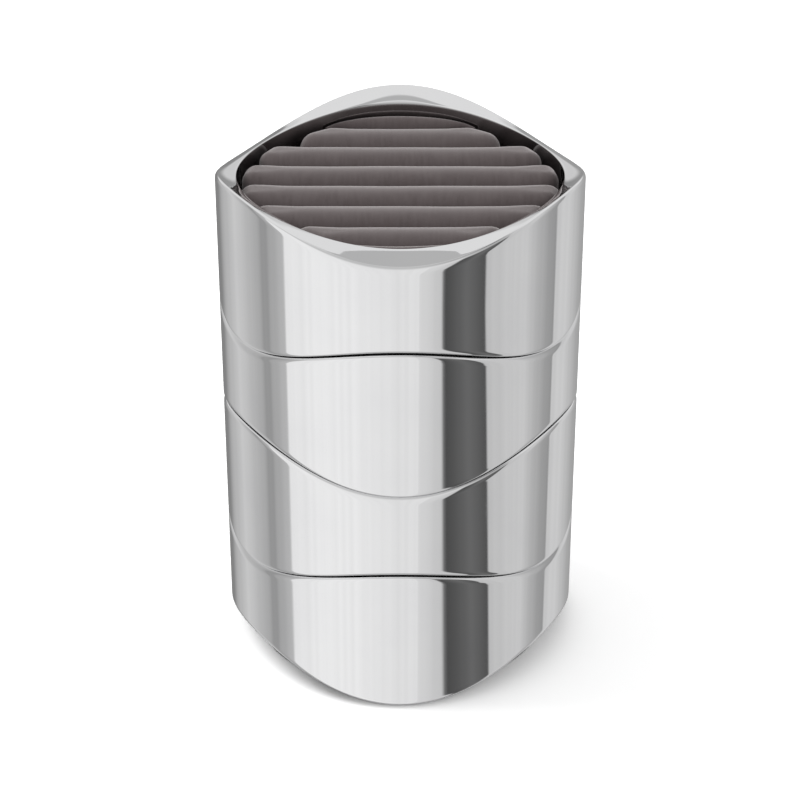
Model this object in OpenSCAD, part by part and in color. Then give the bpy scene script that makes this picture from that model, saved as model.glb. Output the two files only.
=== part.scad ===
// Stacking jewelry tower: four identical round tiers with waved rims. Every second tier is
// turned by half a wave, so that the crests of one rim fill the troughs of the next tier.
// Millimetres, +Z up, front towards -Y, origin on the table under the tower's axis.

/* [Tier shell] */
// Outside radius of every tier
outer_r = 57; // [50:0.5:75]
// Height of a chrome shell, taken at the middle of its waves
shell_h = 38.7; // [36:0.1:60]
// Radial width of the rim that the next tier stands on
rim_w = 6.6; // [6.2:0.1:9]
// Thickness of the shell's outer wall
outer_wall = 2.4; // [1.8:0.1:2.6]
// Thickness of the shell's inner wall
inner_wall = 2.0; // [1.4:0.1:2.2]
// Thickness of the rim over the hollow between both walls
rim_t = 2.4; // [1.6:0.1:4]
// Width of the rounded outer edge of the rim
rim_round_w = 1.0; // [0.5:0.1:2.6]
// Height of the rounded outer edge of the rim
rim_round_h = 1.8; // [0.8:0.1:2.2]
// Width of the rounded inner edge of the rim
lip_w = 3.6; // [1:0.1:4.2]
// Height of the rounded inner edge of the rim
lip_h = 0.7; // [0.4:0.1:2]
// Width of the rounded lower edge of the outer wall
foot_round_w = 0.5; // [0.3:0.1:1.6]
// Height of the rounded lower edge of the outer wall
foot_round_h = 1.6; // [0.4:0.1:2]

/* [Waves] */
// Number of crests round a rim
crests = 3; // [2:1:5]
// Rise of a crest above the middle of the wave, at the outer edge
wave_outer = 5.7; // [1:0.1:7]
// Rise of a crest at the inner edge of the rim
wave_inner = 1.5; // [0.5:0.1:3]
// Facets along half a wave
wave_steps = 12; // [6:1:20]

/* [Stacking] */
// Shadow gap between the outer walls of two tiers
seam_gap = 0.5; // [0.4:0.05:1]
// Gap between a gasket and the rim below it
gasket_rest = 0.2; // [0.15:0.05:0.3]
// Thickness of the gasket under the inner wall
gasket_t = 1.2; // [0.8:0.1:2]
// Height of the gasket's plug in the hollow between both walls
gasket_plug = 2.2; // [1:0.1:4]
// Free space beside the gasket's plug, on each side
gasket_side = 0.15; // [0.1:0.05:0.3]
// Glue line between the gasket and the end of the inner wall
gasket_bond = 0.15; // [0.1:0.05:0.3]

/* [Floor] */
// Thickness of a tier's floor
floor_t = 2.0; // [1.4:0.1:3]
// Height of a floor's underside above the middle of the lower wave
floor_lift = 2.6; // [2.4:0.1:4]
// Depth of the locating ring below the middle of the lower wave
ring_drop = 5.0; // [3:0.1:5.2]
// Wall of the locating ring
ring_wall = 2.6; // [1.6:0.1:4]
// Radial space between the locating ring and the tier that it drops into
ring_clear = 0.5; // [0.4:0.05:1]
// Radial space for the bond between a floor and the inner wall
bond_gap = 0.15; // [0.1:0.05:0.3]

/* [Feet] */
// Radius of a foot
foot_r = 3.0; // [2:0.1:4]
// Distance from the table to the lowest point of the chrome
foot_show = 0.6; // [0.4:0.1:2]
// Depth of a foot's pocket in the base
foot_pocket = 1.2; // [0.8:0.1:2]
// Radial space round a foot in its pocket
foot_clear = 0.1; // [0.05:0.05:0.3]
// Solid width round a foot's pocket
foot_land = 1.0; // [0.6:0.1:2]

/* [Trays] */
// Radial space between an insert and the shell round it
insert_clear = 0.4; // [0.3:0.05:0.8]
// Wall thickness of a tray
tray_wall = 1.8; // [1.4:0.1:2.6]
// Thickness of a tray's bottom
tray_bottom = 2.0; // [1.2:0.1:3]
// Height of a tray, from its underside
tray_h = 25.4; // [18:0.1:28]
// Thickness of a divider board
divider_t = 2.4; // [1.6:0.1:4]
// Height of a divider board
divider_h = 20; // [10:0.5:22]
// Depth of the grooves that hold a divider's ends
groove_d = 0.9; // [0.5:0.1:1]
// Free space round a divider in its groove and its half lap
groove_clear = 0.15; // [0.1:0.05:0.25]
// Thickness of the cushion in the base tray
pad_t = 5; // [3:0.5:10]
// Space between the cushion and the tray's wall
pad_clear = 0.3; // [0.2:0.1:1]

/* [Ring insert] */
// Radial space between the ring insert and the shell round it
ring_insert_clear = 0.8; // [0.4:0.1:1.5]
// Thickness of the board under the ring insert
board_t = 2.0; // [1:0.1:3]
// Distance from the middle of the rim's wave down to the top of the rolls
roll_sink = 3.2; // [0.5:0.1:6]
// Height of a roll
roll_h = 15.3; // [10:0.1:20]
// Distance from one roll to the next
roll_pitch = 14.65; // [14:0.05:16]
// Width of the slit between two rolls
slit_w = 0.45; // [0.3:0.05:1]
// Radius of a roll's rounded top
roll_round = 5.5; // [4:0.1:6.8]
// Radius of the rounding round the whole insert's top edge
insert_round = 4.5; // [2:0.1:6]

/* [Hidden] */
$fn = 96;

// Radii of the shell's two walls
inner_r = outer_r - rim_w;
inner_back_r = inner_r + inner_wall;
outer_back_r = outer_r - outer_wall;
// Levels of a tier, from the middle of its lower wave
floor_top = floor_lift + floor_t;
pitch = shell_h + seam_gap;
// Height of the base tier's lower wave above the table
base_z = wave_outer + foot_show;
facets = 2 * crests * wave_steps;
half_wave = 180 / crests;
locating_r = inner_r - ring_clear;
tray_r = inner_r - insert_clear;
tray_in_r = tray_r - tray_wall;
tray_floor = floor_top + tray_bottom;
insert_r = inner_r - ring_insert_clear;
roll_top = shell_h - roll_sink;
roll_foot = roll_top - roll_h;
roll_count = 8;
roll_w = roll_pitch - slit_w;
pad_round = pad_t / 2;
// Radius of the circle on which the feet stand, and the inside of the ring that carries them
foot_pocket_r = foot_r + foot_clear;
foot_ring_wall = 2 * (foot_pocket_r + foot_land);
foot_circle_r = locating_r - foot_ring_wall / 2;
// Overlap that makes a cutter pass cleanly through a face
cut = 0.1;
round_steps = 3;
lip_steps = 4;

// Rise of the wave at radius r: from its inner to its outer size across the rim
function rise(r) = wave_inner + (wave_outer - wave_inner) * (r - inner_r) / rim_w;

// Height of a profile point [radius, edge, offset] at angle a. Edge 0 is the lower wave, which
// is low at the front, and edge 1 is the rim, which is high there.
function height(p, a) =
    let (swing = rise(p[0]) * cos(crests * (a + 90)))
    p[1] == 0 ? p[2] - swing : shell_h + p[2] + swing;

// The rounded outer edge of the rim, from the land down to the outer wall
function rim_arc() = [
    for (i = [0 : round_steps])
    let (t = 90 * i / round_steps)
    [outer_r - rim_round_w * (1 - sin(t)), 1, -rim_round_h * (1 - cos(t))]
];

// The rounded inner edge of the rim, from the inner wall up to the land
function lip_arc() = [
    for (i = [0 : lip_steps])
    let (t = 90 * i / lip_steps)
    [inner_r + lip_w * (1 - cos(t)), 1, -lip_h * (1 - sin(t))]
];

// The rounded lower edge of the outer wall
function foot_arc() = [
    for (i = [0 : round_steps - 1])
    let (t = 90 * i / (round_steps - 1))
    [outer_r - foot_round_w * (1 - cos(t)), 0, foot_round_h * (1 - sin(t))]
];

// Section of the shell: a channel that is open at its foot
shell_profile = concat(
    rim_arc(),
    foot_arc(),
    [
        [outer_back_r, 0, 0],
        [outer_back_r, 1, -rim_t],
        [inner_back_r, 1, -rim_t],
        [inner_back_r, 0, gasket_t],
        [inner_r, 0, gasket_t]
    ],
    lip_arc()
);

// Section of the gasket: a flat strip under the inner wall, with a plug in the hollow
plug_in_r = inner_back_r + gasket_side;
plug_out_r = outer_back_r - gasket_side;
gasket_low = gasket_rest - seam_gap;
gasket_profile = [
    [plug_out_r, 0, gasket_t + gasket_plug],
    [plug_out_r, 0, gasket_low],
    [plug_in_r, 0, gasket_low],
    [inner_r + gasket_side, 0, gasket_low],
    [inner_r + gasket_side, 0, gasket_t - gasket_bond],
    [plug_in_r, 0, gasket_t - gasket_bond],
    [plug_in_r, 0, gasket_t + gasket_plug]
];

// A closed ring with the given section, whose height follows the waves
module waved_ring(profile) {
    n = len(profile);
    points = [
        for (i = [0 : facets - 1])
        let (a = 360 * i / facets)
        for (p = profile) [p[0] * cos(a), p[0] * sin(a), height(p, a)]
    ];
    faces = [
        for (i = [0 : facets - 1])
        for (j = [0 : n - 1])
        let (
            here = i * n,
            next = (i + 1) % facets * n,
            k = (j + 1) % n
        )
        each [[here + j, here + k, next + k], [here + j, next + k, next + j]]
    ];
    polyhedron(points = points, faces = faces, convexity = 8);
}

// Tier 0 is the base. Every second tier is turned by half a wave.
module at_tier(tier) {
    translate([0, 0, base_z + tier * pitch])
    rotate([0, 0, tier % 2 * half_wave])
    children();
}

// The same level without the turn, for what lies square to the front
module at_level(tier) {
    translate([0, 0, base_z + tier * pitch]) children();
}

module shell(tier) {
    color("gainsboro") at_tier(tier) waved_ring(shell_profile);
}

module gasket(tier) {
    color("dimgray") at_tier(tier) waved_ring(gasket_profile);
}

// A floor disc with the ring that drops into the tier below
module floor_disc(wall) {
    rotate_extrude() {
        translate([0, floor_lift]) square([inner_r - bond_gap, floor_t]);
        translate([locating_r - wall, -ring_drop]) square([wall, ring_drop + floor_lift + cut]);
    }
}

module tier_floor(tier) {
    color([0.09, 0.09, 0.1]) at_level(tier) floor_disc(ring_wall);
}

module at_foot(index) {
    rotate([0, 0, 360 * index / 3 - 90]) translate([foot_circle_r, 0, 0]) children();
}

// The base's ring is wide enough for the pockets of three feet
module base_floor() {
    color([0.09, 0.09, 0.1]) at_level(0) difference() {
        floor_disc(foot_ring_wall);
        for (i = [0 : 2])
            at_foot(i)
            translate([0, 0, -ring_drop - cut])
            cylinder(r = foot_pocket_r, h = foot_pocket + cut);
    }
}

module foot(index) {
    color("black")
    at_foot(index)
    cylinder(r = foot_r, h = base_z - ring_drop + foot_pocket);
}

// A board that stands on the tray's bottom, and the space that its groove leaves round it
module divider_board(clear = 0, height = divider_h) {
    half = tray_in_r + groove_d - groove_clear + clear;
    translate([-half, -divider_t / 2 - clear, tray_floor]) cube([2 * half, divider_t + 2 * clear, height]);
}

// A tray cup with a groove at each end of every divider
module tray(tier, dividers) {
    color([0.36, 0.33, 0.34]) at_level(tier) difference() {
        translate([0, 0, floor_top]) cylinder(r = tray_r, h = tray_h);
        translate([0, 0, tray_floor]) cylinder(r = tray_in_r, h = tray_h);
        for (i = [0 : 1 : dividers - 1])
            rotate([0, 0, 90 * i]) divider_board(groove_clear, tray_h);
    }
}

// Half laps let two boards cross: one is cut from above and the other from below
module lap(from_top) {
    side = divider_t + 2 * groove_clear;
    low = from_top ? tray_floor + divider_h / 2 : tray_floor - cut;
    translate([-side / 2, -side / 2, low]) cube([side, side, divider_h / 2 + cut]);
}

module lower_divider() {
    color([0.32, 0.29, 0.3]) at_level(1) divider_board();
}

module upper_long_divider() {
    color([0.32, 0.29, 0.3]) at_level(2) difference() {
        divider_board();
        lap(true);
    }
}

module upper_cross_divider() {
    color([0.32, 0.29, 0.3]) at_level(2) difference() {
        rotate([0, 0, 90]) divider_board();
        lap(false);
    }
}

// A round cushion with a crowned edge, flat where it lies on the tray
module base_pad() {
    pad_r = tray_in_r - pad_clear;
    color([0.34, 0.31, 0.32]) at_level(0) translate([0, 0, tray_floor]) rotate_extrude() {
        square([pad_r - pad_round, pad_t]);
        square([pad_r, pad_t - pad_round]);
        translate([pad_r - pad_round, pad_t - pad_round]) circle(r = pad_round);
    }
}

module ring_board() {
    color([0.2, 0.19, 0.2]) at_level(3) translate([0, 0, floor_top]) cylinder(r = insert_r, h = board_t);
}

module ring_foam() {
    color([0.3, 0.28, 0.29])
    at_level(3)
    translate([0, 0, floor_top + board_t])
    cylinder(r = insert_r, h = roll_foot - floor_top - board_t);
}

// The space of all rolls together: a disc whose upper edge is rounded
module roll_disc() {
    translate([0, 0, roll_foot]) rotate_extrude() {
        square([insert_r - insert_round, roll_h]);
        square([insert_r, roll_h - insert_round]);
        translate([insert_r - insert_round, roll_h - insert_round]) circle(r = insert_round);
    }
}

// An endless roll along X with a rounded top
module roll_bar() {
    flat = roll_w - 2 * roll_round;
    rotate([90, 0, 90]) linear_extrude(height = 2 * outer_r, center = true) {
        translate([-roll_w / 2, roll_foot]) square([roll_w, roll_h - roll_round]);
        translate([-flat / 2, roll_foot]) square([flat, roll_h]);
        for (side = [-1, 1])
            translate([side * flat / 2, roll_top - roll_round]) circle(r = roll_round);
    }
}

// Rolls are counted from the front. The first and the last are slices at the edge of the circle.
module ring_roll(index) {
    color([0.38, 0.35, 0.36]) at_level(3) intersection() {
        roll_disc();
        translate([0, (index - (roll_count + 1) / 2) * roll_pitch, 0]) roll_bar();
    }
}

shell(0);  // base_shell
base_floor();
gasket(0);  // base_gasket
foot(0);  // front_foot
foot(2);  // left_foot
foot(1);  // right_foot
tray(0, 0);  // base_tray
base_pad();
shell(1);  // lower_shell
tier_floor(1);  // lower_floor
gasket(1);  // lower_gasket
tray(1, 1);  // lower_tray
lower_divider();
shell(2);  // upper_shell
tier_floor(2);  // upper_floor
gasket(2);  // upper_gasket
tray(2, 2);  // upper_tray
upper_long_divider();
upper_cross_divider();
shell(3);  // top_shell
tier_floor(3);  // top_floor
gasket(3);  // top_gasket
ring_board();
ring_foam();
ring_roll(1);  // ring_roll_1
ring_roll(2);  // ring_roll_2
ring_roll(3);  // ring_roll_3
ring_roll(4);  // ring_roll_4
ring_roll(5);  // ring_roll_5
ring_roll(6);  // ring_roll_6
ring_roll(7);  // ring_roll_7
ring_roll(8);  // ring_roll_8
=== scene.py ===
"""Visual model of a round stacking jewelry tower, dressed over its CAD frame.

The tower has four chrome tiers whose rims wave up and down. Each tier stands on the one below, and
the open top tier holds a velvet cushion of ring rolls.
"""

import logging
import math
from dataclasses import dataclass
from enum import Enum
from typing import Any, Callable, Iterable, Sequence

import bpy
import numpy as np
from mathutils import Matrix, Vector


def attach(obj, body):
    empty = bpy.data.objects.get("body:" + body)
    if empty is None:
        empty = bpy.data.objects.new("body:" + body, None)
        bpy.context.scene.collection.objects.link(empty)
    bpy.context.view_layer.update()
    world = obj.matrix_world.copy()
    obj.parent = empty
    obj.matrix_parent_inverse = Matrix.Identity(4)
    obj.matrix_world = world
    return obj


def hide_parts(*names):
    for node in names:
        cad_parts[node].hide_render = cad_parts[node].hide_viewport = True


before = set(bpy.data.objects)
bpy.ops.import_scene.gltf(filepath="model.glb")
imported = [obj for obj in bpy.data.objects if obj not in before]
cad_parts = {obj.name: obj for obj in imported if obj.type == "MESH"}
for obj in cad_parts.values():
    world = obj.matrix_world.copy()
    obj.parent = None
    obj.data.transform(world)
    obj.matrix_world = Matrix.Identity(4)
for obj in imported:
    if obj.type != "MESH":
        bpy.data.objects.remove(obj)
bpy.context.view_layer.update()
LOG = logging.getLogger("jewelry_tower")
MM = 0.001
Piece = bpy.types.Object


class Body(Enum):
    """The rigid bodies of the CAD frame, from the table upwards."""

    BASE = "base_tier"
    LOWER = "lower_tier"
    UPPER = "upper_tier"
    TOP = "top_tier"
    CUSHION = "ring_cushion"


class Lap(Enum):
    """The half of a board that is cut away where another board crosses it."""

    TOP = "top"
    BOTTOM = "bottom"


class Ray(Enum):
    """The kinds of light ray that a material or the world tells apart."""

    CAMERA = "Is Camera Ray"
    GLOSSY = "Is Glossy Ray"


class Slot(Enum):
    """The record's material slots."""

    CHROME = "chrome"
    PLASTIC = "black_plastic"
    SILICONE = "silicone"
    FLOCK = "flock"
    VELVET = "velvet"


# The tower's sizes


@dataclass(frozen=True)
class TowerSizes:
    """The driving sizes of the CAD model, in millimetres."""

    outer_r: float = 57.0
    shell_h: float = 38.7
    rim_w: float = 6.6
    outer_wall: float = 2.4
    inner_wall: float = 2.0
    rim_t: float = 2.4
    rim_round_w: float = 1.0
    rim_round_h: float = 1.8
    foot_round_w: float = 0.5
    foot_round_h: float = 1.6
    lip_w: float = 3.6
    lip_h: float = 0.7
    crests: int = 3
    wave_outer: float = 5.7
    wave_inner: float = 1.5
    seam_gap: float = 0.5
    gasket_t: float = 1.2
    floor_t: float = 2.0
    floor_lift: float = 2.6
    ring_drop: float = 5.0
    ring_wall: float = 2.6
    ring_clear: float = 0.5
    bond_gap: float = 0.15
    foot_r: float = 3.0
    foot_show: float = 0.6
    foot_pocket: float = 1.2
    foot_clear: float = 0.1
    foot_land: float = 1.0
    insert_clear: float = 0.4
    tray_wall: float = 1.8
    tray_bottom: float = 2.0
    tray_h: float = 25.4
    divider_t: float = 2.4
    divider_h: float = 20.0
    groove_d: float = 0.9
    groove_clear: float = 0.15
    pad_t: float = 5.0
    pad_clear: float = 0.3
    ring_insert_clear: float = 0.8
    board_t: float = 2.0
    roll_sink: float = 3.2
    roll_h: float = 15.3
    roll_pitch: float = 14.65
    slit_w: float = 0.45
    roll_round: float = 5.5
    roll_count: int = 8

    @property
    def inner_r(self) -> float:
        """Radius of the opening."""
        return self.outer_r - self.rim_w

    @property
    def pitch(self) -> float:
        """Distance from one tier to the next."""
        return self.shell_h + self.seam_gap

    @property
    def base_z(self) -> float:
        """Level of the lowest tier's lower wave above the table."""
        return self.wave_outer + self.foot_show

    @property
    def floor_top(self) -> float:
        """Top of a floor above its tier's lower wave."""
        return self.floor_lift + self.floor_t

    @property
    def locating_r(self) -> float:
        """Outer radius of the locating ring."""
        return self.inner_r - self.ring_clear

    @property
    def tray_r(self) -> float:
        """Outer radius of a tray."""
        return self.inner_r - self.insert_clear

    @property
    def tray_inner_r(self) -> float:
        """Inner radius of a tray."""
        return self.tray_r - self.tray_wall

    @property
    def insert_r(self) -> float:
        """Radius of the ring cushion."""
        return self.inner_r - self.ring_insert_clear

    @property
    def slit_reach(self) -> float:
        """Distance from a roll's axis to the slit beside it."""
        return (self.roll_pitch - self.slit_w) / 2

    @property
    def roll_top(self) -> float:
        """Top of the rolls above their tier's lower wave."""
        return self.shell_h - self.roll_sink

    def level(self, tier: int) -> float:
        """Level of a tier's lower wave above the table."""
        return self.base_z + tier * self.pitch

    def tray_floor(self, tier: int) -> float:
        """Level of the floor inside a tier's tray above the table."""
        return self.level(tier) + self.floor_top + self.tray_bottom


SIZES = TowerSizes()
TIERS = ("base", "lower", "upper", "top")
TIER_BODIES = (Body.BASE, Body.LOWER, Body.UPPER, Body.TOP)


# Shader maths


class Wire:
    """A shader socket on which sums and products can be written as plain expressions."""

    def __init__(self, board: "Board", socket: Any) -> None:
        """Keeps the socket and the node board that it belongs to."""
        self.board = board
        self.socket = socket

    def _math(self, operation: str, *values: Any) -> "Wire":
        """Adds a Math node that works on wires or numbers, and gives its result."""
        return self.board.node("ShaderNodeMath", {"operation": operation}, dict(enumerate(values)))

    def __add__(self, other: Any) -> "Wire":
        """Sum."""
        return self._math("ADD", self, other)

    __radd__ = __add__

    def __mul__(self, other: Any) -> "Wire":
        """Product."""
        return self._math("MULTIPLY", self, other)

    __rmul__ = __mul__

    def __sub__(self, other: Any) -> "Wire":
        """Difference."""
        return self._math("SUBTRACT", self, other)

    def __rsub__(self, other: Any) -> "Wire":
        """Difference with a number in front."""
        return self._math("SUBTRACT", other, self)

    def __truediv__(self, other: Any) -> "Wire":
        """Quotient."""
        return self._math("DIVIDE", self, other)

    def __pow__(self, other: Any) -> "Wire":
        """Power."""
        return self._math("POWER", self, other)

    def clamp(self) -> "Wire":
        """The value, kept between 0 and 1."""
        return self.board.node("ShaderNodeClamp", {}, {0: self})

    def step(self, low: float, high: float) -> "Wire":
        """A smooth step from 0 at low to 1 at high."""
        settings = {"interpolation_type": "SMOOTHSTEP"}
        return self.board.node("ShaderNodeMapRange", settings, {0: self, 1: low, 2: high})

    def within(self, low: float, high: float, soft: float) -> "Wire":
        """1 between low and high and 0 outside, with soft edges."""
        return self.step(low - soft, low + soft) * (1.0 - self.step(high - soft, high + soft))


class Board:
    """The nodes of one material or world."""

    def __init__(self, tree: Any) -> None:
        """Takes over the node tree of a material or a world and empties it."""
        self.tree = tree
        tree.nodes.clear()

    def node(self, kind: str, settings: dict, inputs: dict, output: Any = 0) -> Wire:
        """Adds one node.

        Args:
            kind: The node's type.
            settings: Its properties. The key "stops" holds a ramp's (place, grey level) pairs.
            inputs: Values or wires by input name or number.
            output: The name or number of the output to return.

        Returns:
            That output.
        """
        made = self.tree.nodes.new(kind)
        for key, value in settings.items():
            if key == "stops":
                self._set_stops(made.color_ramp, value)
            else:
                setattr(made, key, value)
        for key, value in inputs.items():
            socket = made.inputs[key]
            if isinstance(value, Wire):
                self.tree.links.new(value.socket, socket)
            else:
                socket.default_value = value
        return Wire(self, made.outputs[output])

    @staticmethod
    def _set_stops(ramp: Any, stops: Sequence) -> None:
        """Fills a colour ramp.

        Args:
            ramp: The ramp.
            stops: Its (place, grey level) pairs, from left to right.
        """
        while len(ramp.elements) > 1:
            ramp.elements.remove(ramp.elements[-1])
        for index, (place, level) in enumerate(stops):
            element = ramp.elements[0] if index == 0 else ramp.elements.new(place)
            element.position = place
            element.color = (level, level, level, 1.0)

    def position(self) -> Wire:
        """The point on the piece, in metres."""
        return self.node("ShaderNodeTexCoord", {}, {}, "Object")

    def ray(self, kind: Ray) -> Wire:
        """1 for one kind of light ray and 0 for the others."""
        return self.node("ShaderNodeLightPath", {}, {}, kind.value)

    def radius(self) -> Wire:
        """The distance of the point on the piece from the tower's axis, in metres."""
        x, y, _ = self.axes(self.position())
        return (x * x + y * y) ** 0.5

    def axes(self, vector: Wire) -> list:
        """The X, Y and Z of a vector."""
        return [self.node("ShaderNodeSeparateXYZ", {}, {0: vector}, axis) for axis in range(3)]

    def stretched(self, scale: Sequence[float]) -> Wire:
        """The point on the piece, scaled along X, Y and Z."""
        return self.node("ShaderNodeMapping", {}, {"Vector": self.position(), "Scale": scale})

    def noise(self, vector: Wire, scale: float, detail: float = 3.0, rough: float = 0.55) -> Wire:
        """A soft random pattern, with its bumps a metre and its finer layers and their strength."""
        inputs = {"Vector": vector, "Scale": scale, "Detail": detail, "Roughness": rough}
        return self.node("ShaderNodeTexNoise", {}, inputs)

    def mix(self, factor: Any, first: Any, second: Any) -> Wire:
        """A blend from the first colour at factor 0 to the second at 1."""
        inputs = {0: factor, 6: first, 7: second}
        return self.node("ShaderNodeMix", {"data_type": "RGBA"}, inputs, 2)

    def bump(self, height: Wire, depth: float, strength: float) -> Wire:
        """The normal of a relief, whose height of 1 stands for a depth in metres."""
        inputs = {"Height": height, "Distance": depth, "Strength": strength}
        return self.node("ShaderNodeBump", {}, inputs)

    def surface(self, **inputs: Any) -> None:
        """Adds the Principled shader and the output. Underscores stand for spaces."""
        named = {key.replace("_", " "): value for key, value in inputs.items()}
        self.node_output(self.node("ShaderNodeBsdfPrincipled", {}, named))

    def node_output(self, shader: Wire, kind: str = "ShaderNodeOutputMaterial") -> None:
        """Adds the output node of the finished shader."""
        made = self.tree.nodes.new(kind)
        self.tree.links.new(shader.socket, made.inputs["Surface"])


# Finishes


def grey(level: float) -> tuple:
    """A display grey, 0 to 255, as the linear colour that a shader takes."""
    return display(level, level, level)


def to_linear(level: float) -> float:
    """The light, from 0 to 1, of a display level from 0 to 255."""
    part = level / 255
    return part / 12.92 if part <= 0.04045 else ((part + 0.055) / 1.055) ** 2.4


def display(red: float, green: float, blue: float) -> tuple:
    """A display colour, 0 to 255 a channel, as the linear colour that a shader takes."""
    return (to_linear(red), to_linear(green), to_linear(blue), 1.0)


@dataclass(frozen=True)
class Finish:
    """A finish that is made once and then shared by its pieces."""

    name: str
    slot: Slot

    def paint(self, board: Board) -> None:
        """Builds the finish's nodes."""
        raise NotImplementedError

    def material(self) -> bpy.types.Material:
        """Makes or finds the material.

        Returns:
            The material.
        """
        found = bpy.data.materials.get(self.name)
        if found:
            return found
        made = bpy.data.materials.new(self.name)
        made.use_nodes = True
        self.paint(Board(made.node_tree))
        return made

    def dress(self, piece: Piece) -> None:
        """Gives the finish to a piece or a CAD node."""
        piece.data.materials.clear()
        piece.data.materials.append(self.material())


@dataclass(frozen=True)
class PolishedChrome(Finish):
    """Mirror chrome with faint polishing waves and wiped patches, dimmer in the opening."""

    tint: tuple = (0.93, 0.93, 0.935, 1.0)
    wiped_tint: tuple = (0.905, 0.905, 0.915, 1.0)
    inside_tint: tuple = (0.34, 0.33, 0.33, 1.0)
    gloss: float = 0.035
    wiped_haze: float = 0.03
    drawn_haze: float = 0.02
    inside_haze: float = 0.06
    drawn_scale: tuple = (260.0, 260.0, 14.0)
    swell_scale: tuple = (42.0, 42.0, 12.0)
    swell_depth: float = 0.000032
    opening: float = SIZES.inner_r * MM

    def paint(self, board: Board) -> None:
        """Builds a mirror whose gloss changes a little from place to place.

        Args:
            board: The material's node board.
        """
        wiped = board.noise(board.position(), scale=38.0, detail=4.0)
        drawn = board.noise(board.stretched(self.drawn_scale), scale=1.0, detail=2.0)
        swell = board.noise(board.stretched(self.swell_scale), scale=1.0, detail=1.0)
        inside = 1.0 - board.radius().step(self.opening - 0.1 * MM, self.opening + 0.3 * MM)
        haze = wiped.step(0.42, 0.75) * self.wiped_haze + drawn * self.drawn_haze
        plated = board.mix(wiped.step(0.35, 0.8), self.tint, self.wiped_tint)
        board.surface(
            Base_Color=board.mix(inside, plated, self.inside_tint),
            Metallic=1.0,
            Roughness=self.gloss + haze + inside * self.inside_haze,
            Normal=board.bump(swell, depth=self.swell_depth, strength=0.6),
        )


@dataclass(frozen=True)
class Velvet(Finish):
    """Short-pile velvet: brushed streaks, a painted sheen that pales its grazing edges, and a fine
    pile.
    """

    shade: tuple = display(100, 92, 92)
    dark: tuple = display(84, 76, 76)
    # the colour that the painted sheen blends towards at grazing edges
    pale: tuple = display(150, 143, 142)
    glow: tuple = (1.0, 0.96, 0.96, 1.0)
    streak_scale: tuple = (900.0, 130.0, 130.0)
    nap: float = 0.95
    # share of the nap that pales the base colour as painted sheen
    painted_sheen_share: float = 0.75
    pile_depth: float = 0.00012

    def paint(self, board: Board) -> None:
        """Builds the brushed pile and the painted sheen at its grazing edges.

        Args:
            board: The material's node board.
        """
        brushed = board.noise(board.stretched(self.streak_scale), scale=1.0, rough=0.6)
        patch = board.noise(board.position(), scale=120.0, rough=0.6)
        pile = board.noise(board.position(), scale=5200.0, detail=2.0, rough=0.7)
        blend = (brushed * 0.55 + patch * 0.45).step(0.3, 0.72)
        fleck = board.mix(pile.step(0.35, 0.75), self.dark, self.shade)
        # painted sheen: the base colour pales where the surface turns away from the view
        edge = board.node("ShaderNodeLayerWeight", {}, {"Blend": 0.5}, "Facing")
        painted_edge_sheen = edge * edge * (self.nap * self.painted_sheen_share)
        board.surface(
            Base_Color=board.mix(painted_edge_sheen, board.mix(blend, fleck, self.shade), self.pale),
            Roughness=0.95,
            Specular_IOR_Level=0.1,
            Sheen_Weight=self.nap,
            Sheen_Roughness=0.4,
            Sheen_Tint=self.glow,
            Normal=board.bump(pile * 0.7 + brushed * 0.5, depth=self.pile_depth, strength=0.7),
        )


@dataclass(frozen=True)
class Flock(Finish):
    """Flocked tray lining: a dense, dull pile on a moulded tray."""

    shade: tuple = display(88, 80, 81)
    dark: tuple = display(66, 60, 61)
    glow: tuple = (0.9, 0.87, 0.87, 1.0)
    pile_depth: float = 0.0001

    def paint(self, board: Board) -> None:
        """Builds the short pile.

        Args:
            board: The material's node board.
        """
        pile = board.noise(board.position(), scale=4200.0, detail=2.0, rough=0.7)
        cloud = board.noise(board.position(), scale=60.0)
        fleck = (pile * 0.6 + cloud * 0.4).step(0.32, 0.68)
        board.surface(
            Base_Color=board.mix(fleck, self.dark, self.shade),
            Roughness=0.97,
            Specular_IOR_Level=0.1,
            Sheen_Weight=0.35,
            Sheen_Roughness=0.5,
            Sheen_Tint=self.glow,
            Normal=board.bump(pile, depth=self.pile_depth, strength=0.6),
        )


@dataclass(frozen=True)
class MouldedPlastic(Finish):
    """Black plastic with the fine spark-eroded grain of its mould."""

    shade: tuple = display(34, 34, 36)
    pale: tuple = display(46, 46, 48)
    grain_depth: float = 0.00004

    def paint(self, board: Board) -> None:
        """Builds the mould grain.

        Args:
            board: The material's node board.
        """
        grain = board.noise(board.position(), scale=2400.0, detail=2.0, rough=0.6)
        flow = board.noise(board.position(), scale=45.0, detail=2.0)
        worn = (grain * 0.5 + flow * 0.5).step(0.4, 0.7)
        board.surface(
            Base_Color=board.mix(worn, self.shade, self.pale),
            Roughness=0.42 + flow * 0.16,
            Normal=board.bump(grain, depth=self.grain_depth, strength=0.5),
        )


@dataclass(frozen=True)
class Silicone(Finish):
    """Soft black silicone with a dusty, matt skin."""

    shade: tuple = display(28, 28, 29)
    dust: tuple = display(52, 51, 50)
    speck_depth: float = 0.00003

    def paint(self, board: Board) -> None:
        """Builds the dusty skin.

        Args:
            board: The material's node board.
        """
        speck = board.noise(board.position(), scale=1500.0, rough=0.7)
        board.surface(
            Base_Color=board.mix(speck.step(0.5, 0.8), self.shade, self.dust),
            Roughness=0.72 + speck * 0.15,
            Normal=board.bump(speck, depth=self.speck_depth, strength=0.4),
        )


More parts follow.
